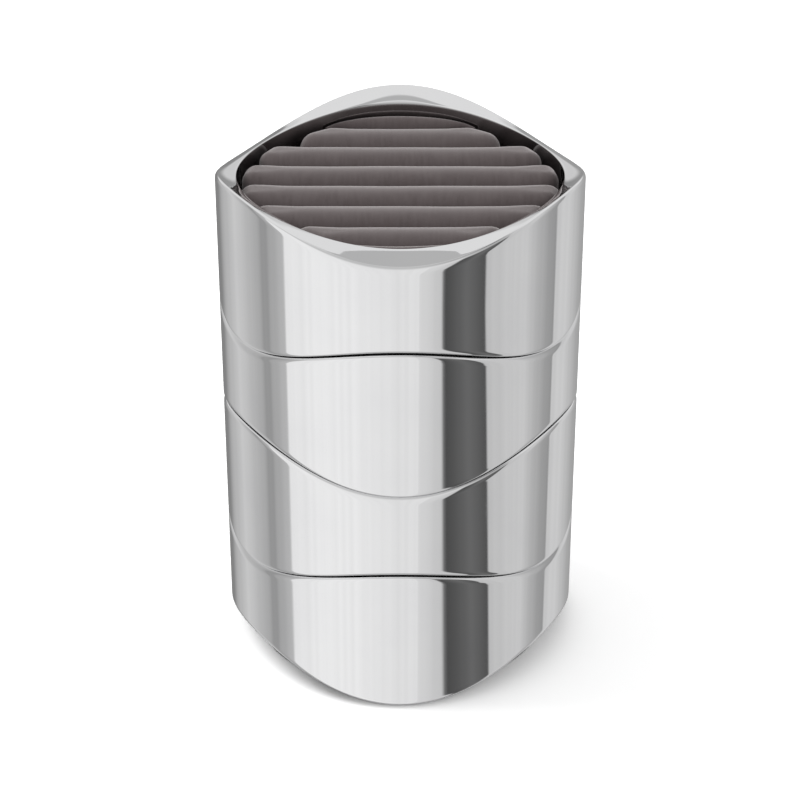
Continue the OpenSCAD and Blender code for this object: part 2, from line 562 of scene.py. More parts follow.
CHROME = PolishedChrome("polished_chrome", Slot.CHROME)
ROLL_VELVET = Velvet("roll_velvet", Slot.VELVET)
PAD_VELVET = Velvet("pad_velvet", Slot.VELVET, streak_scale=(500.0, 500.0, 500.0), nap=0.55)
FLOCK = Flock("tray_flock", Slot.FLOCK)
PLASTIC = MouldedPlastic("moulded_plastic", Slot.PLASTIC)
SILICONE = Silicone("black_silicone", Slot.SILICONE)


# Modelling by hand


class Bench:
    """The modelling steps that the pieces share, each done with operators as by hand.

    Vertices nearer than WELD are joined in a finished piece, and those nearer than SAME in an
    outline. Both are in metres.
    """

    WELD = 2e-6
    SAME = 1e-7

    @staticmethod
    def clear() -> None:
        """Leaves edit mode and deselects everything."""
        if bpy.context.object and bpy.context.object.mode != "OBJECT":
            bpy.ops.object.mode_set(mode="OBJECT")
        bpy.ops.object.select_all(action="DESELECT")

    @classmethod
    def pick(cls, piece: Piece) -> None:
        """Makes one piece the only selected and the active one.

        Args:
            piece: The piece.
        """
        cls.clear()
        piece.select_set(True)
        bpy.context.view_layer.objects.active = piece

    @staticmethod
    def name(name: str) -> Piece:
        """Names the piece that was just added.

        Args:
            name: Its name.

        Returns:
            The piece.
        """
        piece = bpy.context.object
        piece.name = name
        piece.data.name = name
        return piece

    @classmethod
    def close(cls, piece: Piece) -> None:
        """Joins the vertices that meet and turns all normals outward.

        Args:
            piece: The piece.
        """
        cls.pick(piece)
        bpy.ops.object.mode_set(mode="EDIT")
        bpy.ops.mesh.select_all(action="SELECT")
        bpy.ops.mesh.remove_doubles(threshold=cls.WELD)
        bpy.ops.mesh.normals_make_consistent(inside=False)
        bpy.ops.object.mode_set(mode="OBJECT")

    @classmethod
    def settle(cls, piece: Piece) -> Piece:
        """Puts the piece's origin on the tower's, with its place in its mesh.

        Args:
            piece: The piece.

        Returns:
            The piece.
        """
        cls.pick(piece)
        bpy.ops.object.transform_apply(location=True, rotation=True, scale=True)
        return piece

    @classmethod
    def box(cls, name: str, low: Sequence[float], high: Sequence[float]) -> Piece:
        """Adds a block between two corners.

        Args:
            name: Its name.
            low: The lowest corner, in millimetres.
            high: The highest corner, in millimetres.

        Returns:
            The block.
        """
        cls.clear()
        middle = [(a + b) / 2 * MM for a, b in zip(low, high)]
        size = [(b - a) * MM for a, b in zip(low, high)]
        bpy.ops.mesh.primitive_cube_add(size=1, location=middle, scale=size)
        return cls.settle(cls.name(name))

    @classmethod
    def disc(cls, name: str, radius: float, low: float, high: float, sides: int = 192,
             place: Sequence[float] = (0.0, 0.0)) -> Piece:
        """Adds an upright cylinder.

        Args:
            name: Its name.
            radius: Its radius, in millimetres.
            low: The level of its underside, in millimetres.
            high: The level of its top, in millimetres.
            sides: How many sides it has.
            place: The X and Y of its axis, in millimetres.

        Returns:
            The cylinder.
        """
        cls.clear()
        bpy.ops.mesh.primitive_cylinder_add(
            vertices=sides,
            radius=radius * MM,
            depth=(high - low) * MM,
            location=(place[0] * MM, place[1] * MM, (low + high) / 2 * MM),
        )
        return cls.settle(cls.name(name))

    @classmethod
    def lathe(cls, name: str, outline: Sequence[tuple], steps: int,
              closed: bool = False) -> Piece:
        """Draws an outline point by point and spins it round the tower's axis.

        Args:
            name: The piece's name.
            outline: (radius, level) pairs in millimetres.
            steps: How many steps the full turn has.
            closed: Whether the outline's end joins its start.

        Returns:
            The turned piece.
        """
        cls.clear()
        radius, level = outline[0]
        bpy.ops.mesh.primitive_plane_add(size=MM, location=(radius * MM, 0, level * MM))
        piece = cls.settle(cls.name(name))
        bpy.ops.object.mode_set(mode="EDIT")
        bpy.ops.mesh.select_mode(type="VERT")
        bpy.ops.mesh.select_all(action="SELECT")
        bpy.ops.mesh.merge(type="CENTER")
        points = list(outline[1:]) + ([outline[0]] if closed else [])
        for r, z in points:
            bpy.ops.mesh.extrude_region_move(
                TRANSFORM_OT_translate={"value": ((r - radius) * MM, 0, (z - level) * MM)}
            )
            radius, level = r, z
        bpy.ops.mesh.select_all(action="SELECT")
        bpy.ops.mesh.remove_doubles(threshold=cls.SAME)
        bpy.ops.mesh.select_all(action="SELECT")
        bpy.ops.mesh.spin(steps=steps, angle=math.tau, center=(0, 0, 0), axis=(0, 0, 1))
        cls.close(piece)
        return piece

    @classmethod
    def modify(cls, piece: Piece, kind: str, **settings: Any) -> None:
        """Adds a modifier and applies it.

        Args:
            piece: The piece.
            kind: The modifier's type.
            settings: Its settings.
        """
        cls.pick(piece)
        bpy.ops.object.modifier_add(type=kind)
        modifier = piece.modifiers[-1]
        for key, value in settings.items():
            setattr(modifier, key, value)
        bpy.ops.object.modifier_apply(modifier=modifier.name)

    @classmethod
    def cut(cls, piece: Piece, tool: Piece) -> None:
        """Cuts a piece with a tool, throws the tool away and joins the points that meet."""
        cls.modify(piece, "BOOLEAN", operation="DIFFERENCE", object=tool, solver="EXACT")
        bpy.data.objects.remove(tool, do_unlink=True)
        cls.close(piece)

    @classmethod
    def bevel_where(cls, piece: Piece, wanted: Callable, width: float, segments: int) -> None:
        """Rounds the edges that pass a test.

        Args:
            piece: The piece.
            wanted: Takes an edge's two ends, in millimetres, and says whether it is rounded.
            width: The rounding's width, in millimetres.
            segments: How many facets it has.
        """
        cls.pick(piece)
        bpy.ops.object.mode_set(mode="EDIT")
        bpy.ops.mesh.select_mode(type="EDGE")
        bpy.ops.mesh.select_all(action="DESELECT")
        bpy.ops.object.mode_set(mode="OBJECT")
        points = piece.data.vertices
        for edge in piece.data.edges:
            first, second = (points[i].co / MM for i in edge.vertices)
            edge.select = bool(wanted(first, second))
        bpy.ops.object.mode_set(mode="EDIT")
        bpy.ops.mesh.bevel(offset=width * MM, segments=segments, affect="EDGES", profile=0.5)
        bpy.ops.object.mode_set(mode="OBJECT")

    @classmethod
    def smooth(cls, piece: Piece, angle: float) -> None:
        """Shades a piece smooth, but keeps edges sharper than an angle in degrees."""
        cls.pick(piece)
        bpy.ops.object.shade_smooth_by_angle(angle=math.radians(angle))

    @classmethod
    def copy(cls, piece: Piece, name: str) -> Piece:
        """Copies a piece with its own mesh.

        Args:
            piece: The piece.
            name: The copy's name.

        Returns:
            The copy.
        """
        made = piece.copy()
        made.data = piece.data.copy()
        made.name = made.data.name = name
        bpy.context.collection.objects.link(made)
        return made

    @staticmethod
    def points(piece: Piece) -> np.ndarray:
        """Reads where the piece's vertices are.

        Args:
            piece: The piece.

        Returns:
            Rows of X, Y and Z, in millimetres.
        """
        flat = np.empty(len(piece.data.vertices) * 3)
        piece.data.vertices.foreach_get("co", flat)
        return flat.reshape(-1, 3) / MM

    @staticmethod
    def place(piece: Piece, points: np.ndarray) -> None:
        """Moves the piece's vertices to new places, in millimetres."""
        piece.data.vertices.foreach_set("co", (points * MM).ravel())
        piece.data.update()

    @classmethod
    def lift(cls, piece: Piece, height: float) -> None:
        """Lifts the piece's vertices by a height in millimetres."""
        cls.place(piece, cls.points(piece) + np.array([0.0, 0.0, height]))


def hand_over(piece: Piece, body: Body, finish: Finish, nodes: Iterable[str],
              angle: float = 35.0) -> None:
    """Finishes a piece: its shading, material, body and the CAD nodes that it stands for.

    Args:
        piece: The piece.
        body: The body that it rides on.
        finish: Its finish.
        nodes: The CAD nodes that it replaces.
        angle: The angle in degrees from which its edges stay sharp.
    """
    Bench.smooth(piece, angle)
    finish.dress(piece)
    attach(piece, body.value)
    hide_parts(*nodes)
    LOG.info("%s: %d points on %s", piece.name, len(piece.data.vertices), body.value)


def arc(turn: int, steps: int) -> list:
    """(sine, cosine) pairs of a quarter turn, from 0 to 90 degrees for 1 and back for -1."""
    angles = [math.pi / 2 * i / steps for i in range(steps + 1)][::turn]
    return [(math.sin(a), math.cos(a)) for a in angles]


# Sub-assemblies


@dataclass
class TierShell:
    """One chrome shell: outer wall, waved rim and inner wall in one bright skin."""

    tier: int
    size: TowerSizes = SIZES
    steps: int = 360
    round_steps: int = 10
    land_steps: int = 5
    knee_low: float = 2.0
    knee_high: float = 33.3
    seam_ease: float = 0.2
    knee_step: float = 1.0
    foot_step: float = 0.2
    lip_step: float = 0.6
    shoulders: tuple = (2.5, 3.5)
    outer_courses: tuple = (26, 20, 14, 8, 4)
    inner_courses: tuple = (8, 14, 20, 26, 30)

    def outline(self) -> list:
        """The section of the shell before it is waved.

        Returns:
            (radius, level) pairs, in millimetres.
        """
        s = self.size
        top = s.shell_h
        out_back, in_back = s.outer_r - s.outer_wall, s.inner_r + s.inner_wall
        land_w = s.rim_w - s.lip_w - s.rim_round_w
        land = [(s.inner_r + s.lip_w + land_w * i / self.land_steps, top)
                for i in range(1, self.land_steps)]
        rim = [(s.outer_r - s.rim_round_w * (1 - a), top - s.rim_round_h * (1 - b))
               for a, b in arc(1, self.round_steps)]
        shoulders = [top - drop for drop in self.shoulders] + [self.knee_high - self.knee_step]
        wall = [(s.outer_r, z) for z in (*shoulders, *self.outer_courses,
                                         self.knee_low + self.foot_step)]
        foot = [(s.outer_r - s.foot_round_w * (1 - a), s.foot_round_h * (1 - b) + self.seam_ease)
                for b, a in arc(1, self.round_steps)]
        under = top - s.rim_t
        hollow = [(out_back, z) for z in (self.seam_ease, self.knee_low, self.knee_high, under)]
        hollow += [(in_back, z) for z in (under, self.knee_high, self.knee_low, s.gasket_t)]
        hollow.append((s.inner_r, s.gasket_t))
        inner = [(s.inner_r, z) for z in (self.knee_low, *self.inner_courses,
                                          top - s.lip_h - self.lip_step)]
        lip = [(s.inner_r + s.lip_w * (1 - b), top - s.lip_h * (1 - a))
               for a, b in arc(1, 2 * self.round_steps)]
        return land + rim + wall + foot + hollow + inner + lip

    def wave(self, points: np.ndarray) -> np.ndarray:
        """Lifts and lowers both edges of the shell.

        Args:
            points: The turned section's vertices, in millimetres.

        Returns:
            The waved vertices at the tier's level.
        """
        s = self.size
        radius = np.hypot(points[:, 0], points[:, 1])
        angle = np.arctan2(points[:, 1], points[:, 0]) + math.pi / 2
        rise = s.wave_inner + (s.wave_outer - s.wave_inner) * (radius - s.inner_r) / s.rim_w
        part = np.clip((points[:, 2] - self.knee_low) / (self.knee_high - self.knee_low), 0, 1)
        turned = 1 - 2 * (self.tier % 2)
        waved = points.copy()
        height = turned * (2 * part - 1) * rise * np.cos(s.crests * angle)
        waved[:, 2] += s.level(self.tier) + height
        return waved

    def build(self) -> None:
        """Turns, waves and polishes the shell."""
        name = TIERS[self.tier]
        piece = Bench.lathe(f"{name}_tier_chrome", self.outline(), self.steps, closed=True)
        Bench.place(piece, self.wave(Bench.points(piece)))
        hand_over(piece, TIER_BODIES[self.tier], CHROME, [f"{name}_shell"], angle=40)


@dataclass
class TierFloor:
    """A floor plate with the ring that locates the tier in the one below."""

    tier: int
    size: TowerSizes = SIZES
    ease: float = 0.5
    ring_ease: float = 1.2

    def outline(self, wall: float) -> list:
        """The section of the plate.

        Args:
            wall: The thickness of the locating ring.

        Returns:
            (radius, level) pairs, in millimetres.
        """
        s, e, ring_e = self.size, self.ease, self.ring_ease
        edge = s.inner_r - s.bond_gap
        out, inside = s.locating_r, s.locating_r - wall
        low, under, top = -s.ring_drop, s.floor_lift, s.floor_top
        return [(0.0, top), (edge - e, top), (edge, top - e), (edge, under + e),
                (edge - e / 2, under), (out, under), (out, low + ring_e),
                (out - e * 0.6, low + e * 0.5), (out - ring_e, low), (inside + e, low),
                (inside, low + e), (inside, under - e), (inside - e, under), (0.0, under)]

    def build(self) -> None:
        """Turns the plate, and cuts the feet's pockets in the lowest one."""
        s = self.size
        name = TIERS[self.tier]
        pocket_r = s.foot_r + s.foot_clear
        wall = 2 * (pocket_r + s.foot_land) if self.tier == 0 else s.ring_wall
        piece = Bench.lathe(f"{name}_tier_floor", self.outline(wall), 192)
        Bench.lift(piece, s.level(self.tier))
        if self.tier == 0:
            low = s.base_z - s.ring_drop
            for x, y in Feet.places(s):
                tool = Bench.disc("pocket_tool", pocket_r, low - 1, low + s.foot_pocket, 64, (x, y))
                Bench.cut(piece, tool)
        hand_over(piece, TIER_BODIES[self.tier], PLASTIC, [f"{name}_floor"])


@dataclass
class Feet:
    """Three silicone feet with a domed edge."""

    size: TowerSizes = SIZES
    names: tuple = ("front_foot", "right_foot", "left_foot")
    dome: float = 0.5

    @staticmethod
    def places(size: TowerSizes) -> list:
        """Where the feet stand.

        Args:
            size: The tower's sizes.

        Returns:
            (x, y) pairs in millimetres: front, right and left.
        """
        radius = size.locating_r - (size.foot_r + size.foot_clear + size.foot_land)
        angles = [math.radians(120 * i - 90) for i in range(3)]
        return [(radius * math.cos(a), radius * math.sin(a)) for a in angles]

    def build(self) -> None:
        """Makes one foot and copies it to its three places."""
        s = self.size
        high = s.base_z - s.ring_drop + s.foot_pocket
        pattern = Bench.disc("foot_pattern", s.foot_r, 0.0, high, 64)
        under = 0.01
        Bench.bevel_where(pattern, lambda a, b: max(a.z, b.z) < under, self.dome, segments=4)
        shape = Bench.points(pattern)
        for name, (x, y) in zip(self.names, self.places(s)):
            piece = Bench.copy(pattern, f"{name}_pad")
            Bench.place(piece, shape + np.array([x, y, 0.0]))
            hand_over(piece, Body.BASE, SILICONE, [name])
        bpy.data.objects.remove(pattern, do_unlink=True)


@dataclass
class Tray:
    """A flocked tray cup, with grooves for its divider boards."""

    tier: int
    dividers: int = 0
    size: TowerSizes = SIZES
    brim: float = 0.85
    cove: float = 1.6
    ease: float = 0.6

    def outline(self) -> list:
        """The section of the cup, with a round brim and a coved corner.

        Returns:
            (radius, level) pairs, in millimetres.
        """
        s = self.size
        out, inside = s.tray_r, s.tray_inner_r
        low, floor, top = s.floor_top, s.floor_top + s.tray_bottom, s.floor_top + s.tray_h
        corner = [(inside - self.cove * (1 - a), floor + self.cove * (1 - b))
                  for b, a in arc(-1, 5)]
        mid = (out + inside) / 2
        half = (out - inside) / 2
        crown = [(mid + half * math.cos(t), top - self.brim + self.brim * math.sin(t))
                 for t in np.linspace(math.pi, 0, 11)]
        return ([(0.0, floor), (20.0, floor)] + corner + crown
                + [(out, low + self.ease), (out - self.ease, low), (0.0, low)])

    def build(self) -> None:
        """Turns the cup and cuts its grooves."""
        s = self.size
        name = TIERS[self.tier]
        piece = Bench.lathe(f"{name}_tier_tray", self.outline(), 192)
        Bench.lift(piece, s.level(self.tier))
        half = s.tray_inner_r + s.groove_d
        side = s.divider_t / 2 + s.groove_clear
        low = s.tray_floor(self.tier)
        for index in range(self.dividers):
            along, across = (half, side) if index == 0 else (side, half)
            tool = Bench.box("groove_tool", (-along, -across, low), (along, across, low + s.tray_h))
            Bench.cut(piece, tool)
        hand_over(piece, TIER_BODIES[self.tier], FLOCK, [f"{name}_tray"])


@dataclass
class DividerBoard:
    """A flocked board that stands in a tray's grooves."""

    node: str
    tier: int
    across: bool = False
    lap: Lap | None = None
    size: TowerSizes = SIZES
    ease: float = 0.45

    def build(self) -> None:
        """Cuts the board, its half lap and its soft edges."""
        s = self.size
        low = s.tray_floor(self.tier)
        half = s.tray_inner_r + s.groove_d - s.groove_clear
        side = s.divider_t / 2
        x, y = (side, half) if self.across else (half, side)
        piece = Bench.box(f"{self.node}_board", (-x, -y, low), (x, y, low + s.divider_h))
        if self.lap:
            wide = side + s.groove_clear
            middle = low + s.divider_h / 2
            start = middle if self.lap is Lap.TOP else low - s.divider_h / 2
            tool = Bench.box("lap_tool", (-wide, -wide, start), (wide, wide, start + s.divider_h))
            Bench.cut(piece, tool)
        Bench.modify(piece, "BEVEL", width=self.ease * MM, segments=3, limit_method="ANGLE")
        hand_over(piece, TIER_BODIES[self.tier], FLOCK, [self.node])


@dataclass
class BasePad:
    """The soft round pad in the lowest tray, stitched round just inside its edge."""

    size: TowerSizes = SIZES
    stitch_w: float = 0.8
    stitch_d: float = 0.35
    cover: tuple = (38.0, 30.0, 22.0, 14.0, 7.0, 0.0)

    def build(self) -> None:
        """Turns the pad with its round edge and its stitched groove."""
        s = self.size
        radius = s.tray_inner_r - s.pad_clear
        low = s.tray_floor(0)
        round_r = s.pad_t / 2
        side = [(radius - round_r * (1 - math.cos(t)), low + round_r + round_r * math.sin(t))
                for t in np.linspace(-math.pi / 2 * 0.9, math.pi / 2, 13)]
        top, flat, stitch = low + s.pad_t, radius - round_r, self.stitch_w
        outline = [(0.0, low), (flat, low)] + side
        outline += [(flat - 1.5 * stitch, top), (flat - 2.5 * stitch, top - self.stitch_d),
                    (flat - 3.5 * stitch, top - 0.1)]
        outline += [(r, top) for r in self.cover]
        piece = Bench.lathe("base_tray_pad", outline, 192)
        hand_over(piece, Body.BASE, PAD_VELVET, ["base_pad"], angle=60)


@dataclass
class RingCushion:
    """Board, foam block and the velvet rolls that hold rings between them.

    A roll's section is half an ellipse of the soft width and height, whose crown stands a little
    over the CAD roll. It narrows to the plan's rounding over the corner run. The end rounding
    grows towards the first and the last full roll.

    The first and the last roll are slices at the edge of the cushion's circle. The slice sizes
    give a slice's reach in degrees to each side and the least thickness of its tips. They also
    give how far its ridge lies from the circle as a share of its thickness, how steep its sides
    are, how far its middle stands over the rolls and how far its tips lie below its middle.

    Each swell of the foam has a height, a length and its own share of the shift between rolls.
    """

    size: TowerSizes = SIZES
    board_ease: float = 0.4
    block_ease: float = 1.2
    block_foot: float = 0.5
    cover: tuple = (36.0, 24.0, 12.0, 0.0)
    soft_w: float = 6.9
    soft_h: float = 5.9
    crown: float = 0.44
    end_round: float = 3.8
    end_grow: float = 7.0
    corner_run: float = 9.0
    slice_reach: float = 29.0
    slice_tip: float = 0.8
    slice_edge: float = 0.25
    slice_steep: float = 1.6
    slice_rise: float = 0.6
    slice_sag: float = 1.6
    slice_steps: int = 121
    slice_caps: int = 8
    turns: int = 14
    straight: int = 88
    swells: tuple = ((0.04, 9.1, 1.0), (0.03, 4.3, 1.7))
    drift: float = 0.36
    shift: float = 2.3
    settled: float = 0.05
    seed: int = 11

    @property
    def level(self) -> float:
        """Level of the top tier's lower wave."""
        return self.size.level(3)

    def build(self) -> None:
        """Builds the board, the block and the rolls."""
        self._board()
        self._block()
        for index in range(self.size.roll_count):
            self._roll(index)

    def _board(self) -> None:
        """The stiff board under the cushion."""
        s = self.size
        low = self.level + s.floor_top
        piece = Bench.disc("cushion_board", s.insert_r, low, low + s.board_t)
        Bench.modify(piece, "BEVEL", width=self.board_ease * MM, segments=3,
                     limit_method="ANGLE", angle_limit=math.radians(60))
        hand_over(piece, Body.CUSHION, PLASTIC, ["ring_board"])

    def _block(self) -> None:
        """The foam block, wrapped in velvet, on which the rolls stand."""
        s = self.size
        low = self.level + s.floor_top + s.board_t
        high = self.level + s.roll_top - s.roll_h
        edge, foot, ease = s.insert_r, self.block_foot, self.block_ease
        outline = [(0.0, low)]
        outline += [(edge - foot * (1 - a), low + foot * (1 - b)) for b, a in arc(-1, 4)]
        outline.append((edge, (low + high) / 2))
        outline += [(edge - ease * (1 - a), high - ease * (1 - b)) for b, a in arc(1, 5)]
        outline += [(r, high) for r in self.cover]
        piece = Bench.lathe("cushion_block", outline, 192)
        hand_over(piece, Body.CUSHION, PAD_VELVET, ["ring_foam"], angle=60)

    def _roll(self, index: int) -> None:
        """One roll, or one slice of a roll at the edge of the cushion's circle.

        Args:
            index: The roll's number, counted from the front.
        """
        s = self.size
        middle = (index - (s.roll_count - 1) / 2) * s.roll_pitch
        shape = self._slice_rim if index in (0, s.roll_count - 1) else self._bolster_rim
        bar = self._wrapped(f"ring_roll_{index + 1}_velvet", shape(middle))
        self._stuff(bar, index, middle)
        hand_over(bar, Body.CUSHION, ROLL_VELVET, [f"ring_roll_{index + 1}"], angle=50)

    def _bolster_rim(self, middle: float) -> np.ndarray:
        """The edge of a full roll in plan, counterclockwise from its front right corner.

        The core is a strip of the cushion's circle. The soft edge round it is as wide as the
        roll's rounding, so the ends are drawn in beside the slits.

        Args:
            middle: The Y of the roll's axis, in millimetres.

        Returns:
            A row for each point: core X and Y, way out, spine X and Y, soft width, width and
            height of the rounding and level of the top.
        """
        s = self.size
        radius = s.insert_r - s.roll_round
        reach = s.slit_reach - s.roll_round
        front, rear = (math.asin((middle + side * reach) / radius) for side in (-1, 1))
        x_front, x_rear = radius * math.cos(front), radius * math.cos(rear)
        y_front, y_rear = middle - reach, middle + reach
        tip, square = min(x_front, x_rear), math.pi / 2
        right = [(x_front, y_front, t, tip) for t in np.linspace(-square, front, self.turns)[:-1]]
        right += [(radius * math.cos(t), radius * math.sin(t), t, tip)
                  for t in np.linspace(front, rear, self.turns)]
        right += [(x_rear, y_rear, t, tip) for t in np.linspace(rear, square, self.turns)[1:]]
        left = [(-x, y, math.pi - t, -tip) for x, y, t, _ in reversed(right)]
        steps = [1 - 2 * i / self.straight for i in range(1, self.straight)]
        back = [(x_rear * step, y_rear, square, tip * step) for step in steps]
        fore = [(-x_front * step, y_front, -square, -tip * step) for step in steps]
        loop = np.array(right + back + left + fore)
        end = self.end_round + self.end_grow * (middle / s.insert_r) ** 4
        facing = np.cos(loop[:, 2]) ** 2
        inward = np.clip((tip - np.abs(loop[:, 3])) / self.corner_run, 0, 1)
        wide = s.roll_round + (self.soft_w - s.roll_round) * inward * inward * (3 - 2 * inward)
        blunt = wide + (min(end, s.roll_round) - wide) * facing
        tall = self.soft_h + (end - self.soft_h) * facing
        ones = np.ones(len(loop))
        return np.column_stack([loop, middle * ones, s.roll_round * ones, blunt, tall,
                                (self.level + s.roll_top + self.crown) * ones])

    def _slice_rim(self, middle: float) -> np.ndarray:
        """The edge of the slice of a roll that the cushion's circle leaves.

        Args:
            middle: The Y of the roll's axis, in millimetres.

        Returns:
            Rows as those of a full roll.
        """
        s = self.size
        side = math.copysign(1.0, middle)
        slit = abs(middle) - s.slit_reach
        end, caps = math.radians(self.slice_reach), self.slice_caps
        sweep = np.linspace(-end, end, self.slice_steps)
        right_cap = np.linspace(end, end + math.pi, caps + 2)[1:-1]
        left_cap = np.linspace(end + math.pi, math.tau - end, caps + 2)[1:-1]
        way = np.concatenate([sweep, right_cap, sweep[::-1] + math.pi, left_cap])
        at = np.concatenate([sweep, np.full(caps, end), sweep[::-1], np.full(caps, -end)])
        thick = np.maximum(s.insert_r - slit / np.cos(at), self.slice_tip)
        ray = s.insert_r - thick * self.slice_edge
        inward = (1 - np.cos(way - at)) / 2
        soft = thick * (self.slice_edge + (1 - 2 * self.slice_edge) * inward)
        top = self.level + s.roll_top + self.slice_rise - self.slice_sag * (at / end) ** 4
        x, y = ray * np.sin(at), side * ray * np.cos(at)
        out = np.arctan2(side * np.cos(way), np.sin(way))
        return np.column_stack([x, y, out, x, y, soft, soft, soft * self.slice_steep, top])

    def _wrapped(self, name: str, rim: np.ndarray) -> Piece:
        """A stuffed piece with a soft rounded edge all round.

        A plain drum with a small hole is turned, one step for each row of the rim, and its
        vertices are moved: the hole's to the spine, the flat top's edge to the core and the
        rounding's unit radius to the row's own width and height.

        Args:
            name: The piece's name.
            rim: Its edge in plan.

        Returns:
            The piece.
        """
        s = self.size
        low = self.level + s.roll_top - s.roll_h
        hole, flat, unit, high = 2.0, 20.0, 5.0, 30.0
        flats, sides, rounds = 3, 5, 12
        outline = [(hole + (flat - hole) * i / flats, 0.0) for i in range(flats + 1)]
        outline += [(flat + unit, (high - unit) * i / sides) for i in range(sides)]
        outline += [(flat + unit * a, high - unit * (1 - b)) for a, b in arc(-1, rounds)]
        outline += [(flat - (flat - hole) * i / flats, high) for i in range(1, flats + 1)]
        piece = Bench.lathe(name, outline, len(rim))
        points = Bench.points(piece)
        radius = np.hypot(points[:, 0], points[:, 1])
        turn = np.arctan2(points[:, 1], points[:, 0]) / math.tau * len(rim)
        core_x, core_y, out, spine_x, spine_y, soft, blunt, tall, top = rim[
            np.rint(turn).astype(int) % len(rim)].T
        way = np.column_stack([np.cos(out), np.sin(out)])
        spine = np.column_stack([spine_x, spine_y])
        inner = np.column_stack([core_x, core_y]) + way * (soft - blunt)[:, None]
        level = np.clip((radius - hole) / (flat - hole), 0, 1)[:, None]
        spread = np.clip((radius - flat) / unit, 0, 1) * blunt
        points[:, :2] = spine + (inner - spine) * level + way * spread[:, None]
        share = np.clip(points[:, 2] / (high - unit), 0, 1)
        bend = np.clip((points[:, 2] - high + unit) / unit, 0, 1)
        points[:, 2] = low + share * (top - tall - low) + bend * tall
        Bench.place(piece, points)
        Bench.close(piece)
        return piece

    def _stuff(self, bar: Piece, index: int, middle: float) -> None:
        """Makes the roll's foam a little uneven.

        Args:
            bar: The roll.
            index: Its number, which sets its own unevenness.
            middle: The Y of its axis, in millimetres.
        """
        points = Bench.points(bar)
        shift = self.seed + self.shift * index
        x, y, z = points.T
        swell = sum(high * np.sin(x / long + share * shift) for high, long, share in self.swells)
        height = 2 * (z - z.min()) / (z.max() - z.min())
        points[:, 1] += self.drift * swell * np.sign(y - middle) * np.clip(height, 0, 1)
        points[:, 2] += np.clip(height - 1, 0, 1) * (swell - self.settled)
        Bench.place(bar, points)


# Studio


@dataclass(frozen=True)
class Card:
    """An upright studio card, as the chrome sees it round the tower.

    It starts at an azimuth in degrees, which is 0 towards the camera and grows to the right, and
    reaches to the next card. The greys are display levels at both of its edges.
    """

    start: float
    first: float
    last: float


@dataclass(frozen=True)
class Panel:
    """A soft-edged panel over the tower, as a range of the mirrored direction's X and Y."""

    left: float
    right: float
    near: float
    far: float
    soft: float
    level: float


@dataclass(frozen=True)
class Lamp:
    """A round soft lamp: its place and width in metres, and its power in watts."""

    name: str
    place: tuple
    width: float
    watts: float


